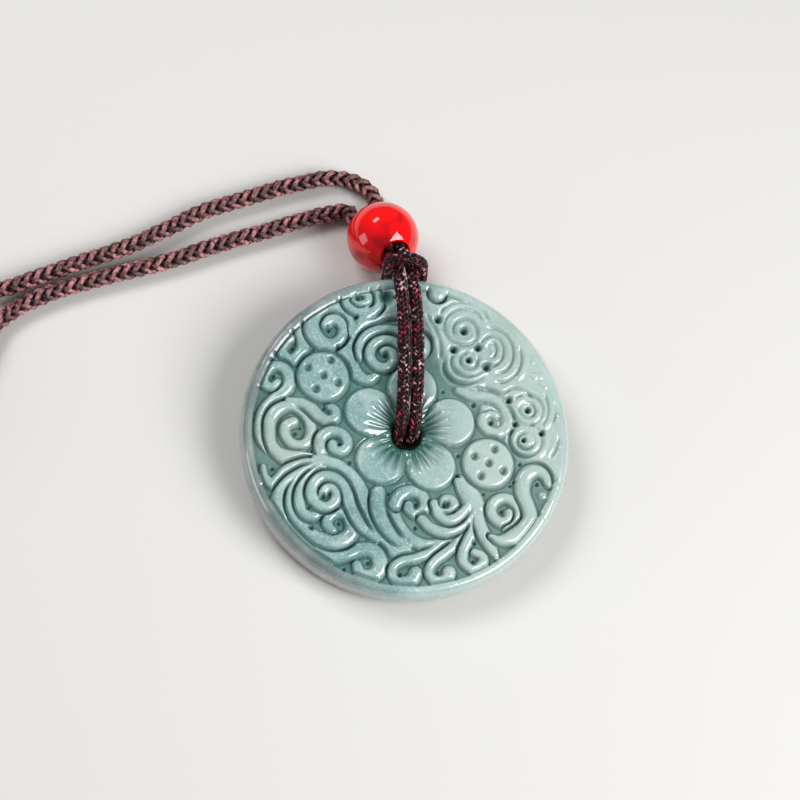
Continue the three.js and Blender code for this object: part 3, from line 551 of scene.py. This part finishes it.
across = add_node(tree, "ShaderNodeSeparateXYZ", [place], output="X") + clouds * 0.008
middle = tuple((from_disc(0, 0, DISC_THICKNESS) + SHIFT) * MM)
out = add_node(tree, "ShaderNodeVectorMath", [place, middle], output="Value", operation="DISTANCE")
# Painted shade: the left part of the rim, away from the key light, turns a dark grey.
rim_left_painted_shade = out.between(0.0160, 0.0167) * across.between(0.005, -0.006)
stone = mixed(tree, rim_left_painted_shade * 0.85, stone, mixed(tree, veins.between(0.35, 0.65), (0.10, 0.135, 0.135, 1),
                                                  (0.215, 0.225, 0.22, 1)))
whitish = add_node(tree, "ShaderNodeVectorMath", [place, WHITISH_PLACE], output="Value",
                   operation="DISTANCE")
stone = mixed(tree, (whitish + clouds * 0.004).between(0.0080, 0.0035) * 0.55, stone, (0.47, 0.52, 0.47, 1))
stone = mixed(tree, across.between(0.004, 0.013) * 0.6, stone, (0.45, 0.53, 0.49, 1))
# Painted shade: the recesses are darkened towards a deep green, the more the deeper they are cut.
feed(tree, shader, "Base Color", mixed(tree, hollow_shade_and_polish.between(0.2, 1.1) * 0.93, stone,
                                       (0.010, 0.095, 0.074, 1)))
# The recesses are less polished than the tops and the blossom.
dull = hollow_shade_and_polish.between(0.35, 0.85) * out.between(0.0052, 0.0064)
feed(tree, shader, "Roughness", 0.22 + 0.28 * dull)
feed(tree, shader, "Coat Weight", 1 - dull)
bump(tree, shader, specks, 0.15, 0.00005)


def add_object(name, mesh, material, rounded=True):
    piece = bpy.data.objects.new(name, mesh)
    bpy.context.scene.collection.objects.link(piece)
    if rounded:
        mesh.polygons.foreach_set("use_smooth", [True] * len(mesh.polygons))
    mesh.materials.append(material)
    return piece


jade_disc = add_object("carved_jade", disc_mesh(), jade)
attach(jade_disc, "root")
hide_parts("jade_disc")


# Red bead: a polished round agate bead with clouds of darker and brighter red. It is drilled through, and
# its bore points at the knot of the loop cord behind the disc's top edge.
BEAD_RADIUS = 8 / 2
BEAD_BORE = 3.3
BEAD_RINGS = 44
BEAD_SEGMENTS = 72
STRAND_RADIUS = LOOP_DIAMETER / 2
KNOT_HEIGHT = DISC_THICKNESS + CLEARANCE + STRAND_RADIUS
KNOT_RISE = DISC_RADIUS + CLEARANCE * 0.8 + STRAND_RADIUS
BEAD_AWAY = KNOT_RISE + STRAND_RADIUS + CLEARANCE * 0.5 + BEAD_RADIUS
BEAD_CENTRE = np.array([-2.25, (BEAD_AWAY - BEAD_RADIUS * math.sin(LEAN)) / math.cos(LEAN)
                        + DISC_LIFT * math.tan(LEAN), BEAD_RADIUS])


def unit(vector):
    vector = np.asarray(vector, float)
    return vector / np.linalg.norm(vector)


BORE = unit(from_disc(-0.2, KNOT_RISE, KNOT_HEIGHT - 0.9) - BEAD_CENTRE)


def bead_mesh():
    bore = BEAD_BORE / 2
    mouth = math.acos(bore / BEAD_RADIUS)
    angles = np.linspace(-mouth, mouth, BEAD_RINGS)
    profile = [(BEAD_RADIUS * math.cos(a), BEAD_RADIUS * math.sin(a)) for a in angles]
    inner = [(bore - 0.06, z) for z in np.linspace(profile[-1][1] - 0.08, profile[0][1] + 0.08, 8)]
    profile += inner
    side = unit(np.cross(BORE, [0, 0, 1]))
    other = np.cross(BORE, side)
    points = []
    for radius, along_bore in profile:
        for k in range(BEAD_SEGMENTS):
            angle = 2 * math.pi * k / BEAD_SEGMENTS
            points.append(BEAD_CENTRE + SHIFT + BORE * along_bore
                          + (side * math.cos(angle) + other * math.sin(angle)) * radius)
    faces = []
    for i in range(len(profile)):
        n = (i + 1) % len(profile)
        for k in range(BEAD_SEGMENTS):
            j = (k + 1) % BEAD_SEGMENTS
            faces.append((i * BEAD_SEGMENTS + k, i * BEAD_SEGMENTS + j, n * BEAD_SEGMENTS + j,
                          n * BEAD_SEGMENTS + k))
    return mesh_from("agate_bead", points, faces)


agate, tree, shader = new_material("red_agate", Roughness=0.04, IOR=1.5, Coat_Weight=0.4,
                                   Coat_Roughness=0.02, Subsurface_Weight=0.15,
                                   Subsurface_Radius=(1.0, 0.05, 0.03), Subsurface_Scale=0.002)
place = object_place(tree)
clouds = noise(tree, 190.0, detail=2.0, vector=place)
deep = noise(tree, 330.0, detail=1.0, vector=place)
glow = mixed(tree, clouds.between(0.35, 0.65), (0.50, 0.0, 0.003, 1), (0.9, 0.0, 0.001, 1))
feed(tree, shader, "Base Color", mixed(tree, deep.between(0.56, 0.72) * 0.7, glow, (0.12, 0.0, 0.002, 1)))

agate_bead = add_object("agate_bead", bead_mesh(), agate)
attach(agate_bead, "root")
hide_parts("red_bead")


# Loop cord: a fine dark braid with flecks of painted crimson and pink sheen. It is doubled, runs from the
# bead over the rim and down through the disc's hole, and comes back behind the disc over the two strands as
# a knot.
STRAND_SPACING = 1.5
SIDE = STRAND_SPACING / 2
FRONT = DISC_THICKNESS + CLEARANCE + STRAND_RADIUS
BEHIND = -(CLEARANCE + STRAND_RADIUS)
LOOP_STEP = 0.16
CORE_SIDES = 6
ACROSS = unit([-BORE[1], BORE[0], 0])


def on_bore(along, across):
    return BEAD_CENTRE + BORE * along + ACROSS * across


def spline(points, step):
    """Evenly spaced points, about step apart, on a centripetal Catmull-Rom curve."""
    points = np.asarray(points, float)
    ends = [2 * points[0] - points[1], *points, 2 * points[-1] - points[-2]]
    dense = []
    for i in range(1, len(ends) - 2):
        p0, p1, p2, p3 = ends[i - 1:i + 3]
        t0 = 0.0
        t1 = t0 + max(np.linalg.norm(p1 - p0), 1e-6) ** 0.5
        t2 = t1 + max(np.linalg.norm(p2 - p1), 1e-6) ** 0.5
        t3 = t2 + max(np.linalg.norm(p3 - p2), 1e-6) ** 0.5
        t = np.linspace(t1, t2, 24, endpoint=False)[:, None]
        a1 = (t1 - t) / (t1 - t0) * p0 + (t - t0) / (t1 - t0) * p1
        a2 = (t2 - t) / (t2 - t1) * p1 + (t - t1) / (t2 - t1) * p2
        a3 = (t3 - t) / (t3 - t2) * p2 + (t - t2) / (t3 - t2) * p3
        b1 = (t2 - t) / (t2 - t0) * a1 + (t - t0) / (t2 - t0) * a2
        b2 = (t3 - t) / (t3 - t1) * a2 + (t - t1) / (t3 - t1) * a3
        dense.append((t2 - t) / (t2 - t1) * b1 + (t - t1) / (t2 - t1) * b2)
    dense = np.vstack([*dense, ends[-2][None]])
    length = np.concatenate([[0], np.cumsum(np.linalg.norm(np.diff(dense, axis=0), axis=1))])
    count = max(2, int(round(length[-1] / step)))
    places = np.linspace(0, length[-1], count + 1)
    return np.stack([np.interp(places, length, dense[:, k]) for k in range(3)], 1), places


def carried_frames(line):
    """Unit normals along a line that turn as little as they can."""
    tangents = np.gradient(line, axis=0)
    tangents /= np.linalg.norm(tangents, axis=1)[:, None]
    normal = unit(np.cross(tangents[0], [0.1, 0.2, 1.0]))
    normals = []
    for tangent in tangents:
        normal = unit(normal - tangent * (normal @ tangent))
        normals.append(normal)
    normals = np.array(normals)
    return tangents, normals, np.cross(tangents, normals)


def tube(line, radius, sides):
    """Points and quads of a closed tube; radius is a number or one for each point of the line."""
    _, normals, binormals = carried_frames(line)
    angles = np.linspace(0, 2 * math.pi, sides, endpoint=False)
    radii = np.broadcast_to(np.asarray(radius, float), (len(line),))[:, None, None]
    ring = (normals[:, None] * np.cos(angles)[None, :, None]
            + binormals[:, None] * np.sin(angles)[None, :, None])
    points = (line[:, None] + ring * radii).reshape(-1, 3)
    faces = []
    for i in range(len(line) - 1):
        for j in range(sides):
            k = (j + 1) % sides
            faces.append((i * sides + j, i * sides + k, (i + 1) * sides + k, (i + 1) * sides + j))
    faces.append(tuple(reversed(range(sides))))
    faces.append(tuple(range((len(line) - 1) * sides, len(line) * sides)))
    return points, faces


class Braid:
    """Plies wound both ways round a core; each passes over the others in columns along the cord."""

    def __init__(self, plies, columns, pitch, winding_radius, weave, ply_radius, sides, core_radius):
        self.plies = plies
        self.columns = columns
        self.pitch = pitch
        self.winding_radius = winding_radius
        self.weave = weave
        self.ply_radius = ply_radius
        self.sides = sides
        self.core_radius = core_radius

    def build(self, name, line, places, seed):
        rng = np.random.default_rng(seed)
        _, normals, binormals = carried_frames(line)
        points, faces, tone_and_shade = [], [], []
        start = 0
        half = self.plies // 2
        for ply in range(self.plies):
            way = 1 if ply < half else -1
            angle = way * 2 * math.pi * places / self.pitch + 2 * math.pi * (ply % half) / half
            wave = np.cos(self.columns * angle) * way
            radius = self.winding_radius + self.weave * wave
            path = (line + normals * (np.cos(angle) * radius)[:, None]
                    + binormals * (np.sin(angle) * radius)[:, None])
            ply_points, ply_faces = tube(path, self.ply_radius * (0.94 + 0.06 * wave), self.sides)
            points.append(ply_points)
            faces.extend(tuple(start + i for i in face) for face in ply_faces)
            start += len(ply_points)
            # Each ply's tone is random, times a painted shade that darkens it where it passes under the
            # others.
            shade = (0.45 + 0.55 * rng.random()) * (0.25 + 0.75 * smooth(0.5 + 0.5 * wave))
            tone_and_shade.append(np.repeat(shade, self.sides))
        core_points, core_faces = tube(line, self.core_radius, CORE_SIDES)
        points.append(core_points)
        faces.extend(tuple(start + i for i in face) for face in core_faces)
        # The core gets tone 0, the darkest colour: a painted shade in the gaps between the plies.
        tone_and_shade.append(np.zeros(len(core_points)))
        return mesh_from(name, np.vstack(points), faces, {"tone_and_shade": np.concatenate(tone_and_shade)})


def loop_half(sign):
    x = sign * SIDE
    return [
        on_bore(BEAD_RADIUS * 0.62, x),
        on_bore(BEAD_RADIUS * 0.95, x),
        from_disc(x - 0.5, KNOT_RISE - 0.35, FRONT - 0.35),
        from_disc(x - 0.3, DISC_RADIUS - 1.3, FRONT + 0.1),
        from_disc(x + 0.1, DISC_RADIUS * 0.72, FRONT),
        from_disc(x + 0.2, DISC_RADIUS * 0.44, FRONT),
        from_disc(x + 0.05, 3.0, FRONT - 0.15),
        from_disc(x, 1.25, FRONT - 0.8),
        from_disc(x, 0.3, DISC_THICKNESS - 1.0),
        from_disc(x, 0.2, DISC_THICKNESS * 0.5),
        from_disc(x, 0.1, 0.75),
        from_disc(x, 0.7, BEHIND + 0.35),
        from_disc(x, 1.8, BEHIND + 0.12),
        from_disc(x, STRAND_BEARING + 1, BEHIND),
        from_disc(x, DISC_RADIUS * 0.45, BEHIND),
        from_disc(x + sign * 0.1, DISC_RADIUS * 0.75, BEHIND),
        from_disc(x + sign * 0.6, DISC_RADIUS - 1.6, BEHIND),
        from_disc(x + sign * 1.05, DISC_RADIUS, BEHIND + 0.35),
        from_disc(x + sign * 1.15, KNOT_RISE, DISC_THICKNESS * 0.3),
        from_disc(x + sign * 1.1 - 0.25, KNOT_RISE + 0.15, DISC_THICKNESS * 0.85),
        from_disc(x + sign * 0.85 - 0.45, KNOT_RISE + 0.1, DISC_THICKNESS + 1.4),
    ]


arch = from_disc(-0.5, KNOT_RISE + 0.1, FRONT + LOOP_DIAMETER + 0.2)
loop_points = [p + SHIFT for p in [*loop_half(-1), arch, *reversed(loop_half(1))]]
loop_line, loop_places = spline(loop_points, LOOP_STEP)
loop_braid = Braid(plies=16, columns=4, pitch=4.4, winding_radius=0.50, weave=0.05, ply_radius=0.17, sides=4,
                   core_radius=0.44)

fine_fibre, tree, shader = new_material("loop_cord_fibre", Roughness=0.45, Specular_IOR_Level=0.3)
place = object_place(tree)
flecks = noise(tree, 2300.0, detail=1.0, vector=place)
pink = noise(tree, 420.0, detail=1.0, vector=place)
tone_and_shade = attribute(tree, "tone_and_shade")
# Painted shade: the plies are darkest where they pass under the others, and the core is black.
dark = mixed(tree, tone_and_shade, (0.003, 0.001, 0.0015, 1), (0.018, 0.003, 0.006, 1))
light = mixed(tree, pink.between(0.45, 0.62), (0.38, 0.02, 0.05, 1), (0.72, 0.42, 0.45, 1))
# Painted highlight: the pink and crimson flecks stand for the sheen of the filaments, on the plies that pass
# over.
painted_sheen = flecks.between(0.53, 0.61) * tone_and_shade.between(0.4, 0.8)
feed(tree, shader, "Base Color", mixed(tree, painted_sheen, dark, light))
bump(tree, shader, flecks, 0.4, 0.0001)

loop_cord = add_object("loop_braid", loop_braid.build("loop_braid", loop_line, loop_places, seed=5),
                       fine_fibre)
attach(loop_cord, "root")
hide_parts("loop_cord")


# Neck cord: one braided cord of man-made fibre. Both its ends go into the bead's upper mouth, and
# the length that the photograph doesn't show is wound into a tied coil of two layers on the left.
NECK_DIAMETER = 2.1
NECK_RADIUS = NECK_DIAMETER / 2
FLOOR_GAP = 0.05
COIL_MEAN_RADIUS = 22.5 / 2
COIL_CENTRE = (-62.0, 5.0)
COIL_TURNS = 4
REST_LEVEL = NECK_RADIUS + FLOOR_GAP
MOUTH = -(BEAD_RADIUS + CLEARANCE)
upper_run = [
    (-2.5, 29.1, 1.15), (-3.2, 30.6), (-5.0, 31.8), (-7.6, 32.1), (-12.1, 30.9), (-18.4, 28.4),
    (-22.0, 26.9), (-25.9, 24.5), (-30.4, 21.9), (-34.9, 19.9), (-39.3, 17.9), (-43.6, 16.0),
    (-46.6, 15.9), (-49.5, 16.4)]
lower_run = [
    (-5.9, 27.9, 1.15), (-7.6, 27.6), (-10.5, 26.7), (-15.2, 24.8), (-19.9, 23.0), (-25.7, 20.5),
    (-30.3, 18.9), (-34.8, 17.3), (-39.2, 15.4), (-43.2, 12.6, 1.15), (-45.4, 8.7, 1.9)]
NECK_STEP = 0.42


def on_surface(points):
    return [np.array([p[0], p[1], p[2] if len(p) > 2 else REST_LEVEL]) + SHIFT for p in points]


LAYER_LEVELS = (REST_LEVEL, REST_LEVEL + NECK_DIAMETER)
COIL_OUTER = COIL_MEAN_RADIUS + (COIL_TURNS - 1) * NECK_DIAMETER / 2
COIL_INNER = COIL_MEAN_RADIUS - (COIL_TURNS - 1) * NECK_DIAMETER / 2
ENTRY_ANGLE = 70
LAYER_SWEEP = 360 * (COIL_TURNS - 1)
CROSSING_SWEEP = 260
POINT_STEP = 20


def coil_points():
    """Lower layer wound inwards, then up, and the upper layer wound outwards."""
    points = []
    for degrees in range(0, 2 * LAYER_SWEEP + CROSSING_SWEEP + 1, POINT_STEP):
        if degrees < LAYER_SWEEP:
            radius = COIL_OUTER - NECK_DIAMETER * degrees / 360
            level = LAYER_LEVELS[0]
        elif degrees < LAYER_SWEEP + CROSSING_SWEEP:
            radius = COIL_INNER
            share = (degrees - LAYER_SWEEP) / CROSSING_SWEEP
            level = LAYER_LEVELS[0] + NECK_DIAMETER * share
        else:
            radius = COIL_INNER + NECK_DIAMETER * (degrees - LAYER_SWEEP - CROSSING_SWEEP) / 360
            level = LAYER_LEVELS[1]
        angle = math.radians(ENTRY_ANGLE + degrees)
        points.append(np.array([COIL_CENTRE[0] + radius * math.cos(angle),
                                COIL_CENTRE[1] + radius * math.sin(angle), level]))
    return points


neck_points = ([on_bore(MOUTH, NECK_RADIUS + CLEARANCE / 2) + SHIFT] + on_surface(upper_run)
               + [p + SHIFT for p in coil_points()]
               + list(reversed(on_surface(lower_run)))
               + [on_bore(MOUTH, -NECK_RADIUS - CLEARANCE / 2) + SHIFT])
neck_line, neck_places = spline(neck_points, NECK_STEP)
neck_braid = Braid(plies=8, columns=2, pitch=5.0, winding_radius=0.63, weave=0.14, ply_radius=0.27, sides=6,
                   core_radius=0.45)

cord_fibre, tree, shader = new_material("neck_cord_fibre", Roughness=0.6)
tone_and_shade = attribute(tree, "tone_and_shade")
place = object_place(tree)
strands = noise(tree, 2600.0, detail=2.0, vector=place)
patches = noise(tree, 260.0, detail=2.0, vector=place)
# The pink of the grains is partly the fibre's own colour and partly a painted sheen.
fibre_and_sheen = mixed(tree, strands.between(0.38, 0.62), (0.12, 0.03, 0.035, 1), (0.66, 0.28, 0.29, 1))
fibre_and_sheen = mixed(tree, patches.between(0.45, 0.75) * 0.7, fibre_and_sheen, (0.26, 0.12, 0.11, 1))
# Painted shade: black where the plies pass under the others and in the gaps over the core; full colour on
# the crests.
feed(tree, shader, "Base Color", mixed(tree, tone_and_shade.between(0.22, 0.80), (0.004, 0.0015, 0.0015, 1), fibre_and_sheen))
bump(tree, shader, strands, 0.5, 0.00012)

neck_cord = add_object("neck_cord", neck_braid.build("neck_cord", neck_line, neck_places, seed=3),
                       cord_fibre)
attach(neck_cord, "root")
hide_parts("necklace_cord_upper", "necklace_cord_lower", "necklace_coil")


# Coil tie: a thin dark thread, wound four times round the turns of the coil to hold them together.
# It is pulled tight, and its two ends are tucked in between the coil's two layers.
THREAD_DIAMETER = 0.38
THREAD_PITCH = 0.37
THREAD_TURNS = 4
TIE_BEARING = 200
THREAD_STEP = 0.12
THREAD_SIDES = 8
TIE_MARGIN = 0.92 + THREAD_DIAMETER / 2
outer_turn = COIL_OUTER - NECK_DIAMETER * (TIE_BEARING - ENTRY_ANGLE) / 360
inner_turn = outer_turn - (COIL_TURNS - 2) * NECK_DIAMETER
tied_cords = np.array([(outer_turn, LAYER_LEVELS[0]), (outer_turn, LAYER_LEVELS[1]),
                       (inner_turn, LAYER_LEVELS[1]),
                       (COIL_INNER, sum(LAYER_LEVELS) / 2), (inner_turn, LAYER_LEVELS[0])])


def thread_point(radius, level, offset):
    bearing = math.radians(TIE_BEARING)
    level = max(level, FLOOR_GAP + THREAD_DIAMETER / 2)
    return SHIFT + [COIL_CENTRE[0] + radius * math.cos(bearing) - offset * math.sin(bearing),
                    COIL_CENTRE[1] + radius * math.sin(bearing) + offset * math.cos(bearing), level]


thread_points = []
for degrees in range(90, 90 + 360 * THREAD_TURNS + 1, 15):
    towards = np.array([math.cos(math.radians(degrees)), math.sin(math.radians(degrees))])
    held = tied_cords[(tied_cords @ towards).argmax()]
    offset = THREAD_PITCH * ((degrees - 90) / 360 - THREAD_TURNS / 2)
    thread_points.append(thread_point(*(held + towards * TIE_MARGIN), offset))
tuck = sum(LAYER_LEVELS) / 2
half_tie = THREAD_PITCH * THREAD_TURNS / 2
thread_points.insert(0, thread_point(outer_turn - NECK_DIAMETER / 2, tuck, -half_tie))
thread_points.append(thread_point(outer_turn - NECK_DIAMETER / 2, tuck, half_tie))
thread_line, _ = spline(thread_points, THREAD_STEP)
thread_mesh_points, thread_faces = tube(thread_line, THREAD_DIAMETER / 2, THREAD_SIDES)

thread, tree, shader = new_material("tie_thread", Roughness=0.75, Sheen_Weight=0.2)
place = object_place(tree)
weave = noise(tree, 1800.0, detail=2.0, vector=place)
feed(tree, shader, "Base Color", mixed(tree, weave.between(0.4, 0.6), (0.02, 0.004, 0.006, 1),
                                       (0.09, 0.02, 0.028, 1)))
bump(tree, shader, weave, 0.5, 0.00012)

tie = add_object("coil_thread", mesh_from("coil_thread", thread_mesh_points, thread_faces), thread)
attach(tie, "root")
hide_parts("coil_tie")


# Camera: the photograph looks down on the pendant, a little from its lower left. The camera aims at the
# disc's hole and then turns by the small angle that puts the hole on its own pixel.
PHOTO_SIZE = 800
PIXELS_PER_MM = 9.24
CAMERA_DISTANCE = 220.0
ORIGIN_PIXEL = (402.1, 443.0)
TILT, TURN = math.radians(18.3), math.radians(241.8)
SENSOR_WIDTH = 36.0


def disc_direction(x, y, z):
    return from_disc(x, y, z) - from_disc(0, 0, 0)


to_eye = unit(disc_direction(math.sin(TILT) * math.cos(TURN), math.sin(TILT) * math.sin(TURN),
                             math.cos(TILT)))
disc_up = disc_direction(0, 1, 0)
image_up = unit(disc_up - to_eye * (disc_up @ to_eye))
image_right = np.cross(image_up, to_eye)
eye = from_disc(0, 0, 0) + SHIFT + to_eye * CAMERA_DISTANCE
focal_pixels = PIXELS_PER_MM * CAMERA_DISTANCE

# The camera turns by the small angle that moves the hole from the picture's middle to its own pixel.
swing = np.array([(PHOTO_SIZE / 2 - ORIGIN_PIXEL[0]) / focal_pixels,
                  (ORIGIN_PIXEL[1] - PHOTO_SIZE / 2) / focal_pixels])
back = unit(to_eye - image_right * swing[0] - image_up * swing[1])
right = unit(image_right - back * (image_right @ back))
up = np.cross(back, right)
camera_data = bpy.data.cameras.new("photo_camera")
camera_data.sensor_width = SENSOR_WIDTH
camera_data.sensor_fit = "HORIZONTAL"
camera_data.lens = SENSOR_WIDTH * focal_pixels / PHOTO_SIZE
camera_data.clip_start = 0.01
camera_data.clip_end = 10.0
camera = bpy.data.objects.new("photo_camera", camera_data)
pose = Matrix.Identity(4)
for row in range(3):
    for column, axis in enumerate((right, up, back)):
        pose[row][column] = axis[row]
    pose[row][3] = eye[row] * MM
camera.matrix_world = pose
bpy.context.scene.collection.objects.link(camera)
bpy.context.scene.camera = camera


# Floor and light: a pale surface, a large soft key light from the right, a weak one from the left, one
# from above that polished pieces don't mirror, a small one that gives them a glint, and a dim sky.
floor_mesh = bpy.data.meshes.new("floor")
build = bmesh.new()
bmesh.ops.create_grid(build, x_segments=2, y_segments=2, size=1.5)
build.to_mesh(floor_mesh)
build.free()
pale, tree, shader = new_material("pale_surface", Base_Color=(0.60, 0.59, 0.57, 1), Roughness=1.0,
                                  Specular_IOR_Level=0.05)
floor = add_object("floor", floor_mesh, pale, rounded=False)


LIGHT_SPREAD = 130


def soft_light(name, direction, distance, size, power, mirrored=True):
    """An area light that looks at the pendant from a direction given on the camera's axes."""
    data = bpy.data.lights.new(name, "AREA")
    data.shape = "RECTANGLE"
    data.size, data.size_y = size
    data.energy = power
    data.spread = math.radians(LIGHT_SPREAD)
    light = bpy.data.objects.new(name, data)
    light.visible_glossy = mirrored
    towards = unit(right * direction[0] + up * direction[1] + back * direction[2])
    light.location = Vector(towards * distance * MM)
    light.rotation_mode = "QUATERNION"
    light.rotation_quaternion = Vector(-towards).to_track_quat("-Z", "Y")
    bpy.context.scene.collection.objects.link(light)


soft_light("key", (0.745, -0.13, 0.655), 330, (0.215, 0.215), 0.735)
soft_light("side", (-0.962, -0.072, 0.35), 340, (0.16, 0.22), 0.133)
soft_light("top", (-0.45, 0.65, 0.6), 420, (0.24, 0.2), 0.53, mirrored=False)
soft_light("glint", (-0.30, 0.82, 0.49), 400, (0.12, 0.07), 0.10)
world = bpy.data.worlds.new("studio")
world.use_nodes = True
world.node_tree.nodes["Background"].inputs["Color"].default_value = (0.75, 0.78, 0.8, 1)
world.node_tree.nodes["Background"].inputs["Strength"].default_value = 0.22
bpy.context.scene.world = world
bpy.context.scene.view_settings.view_transform = "Standard"
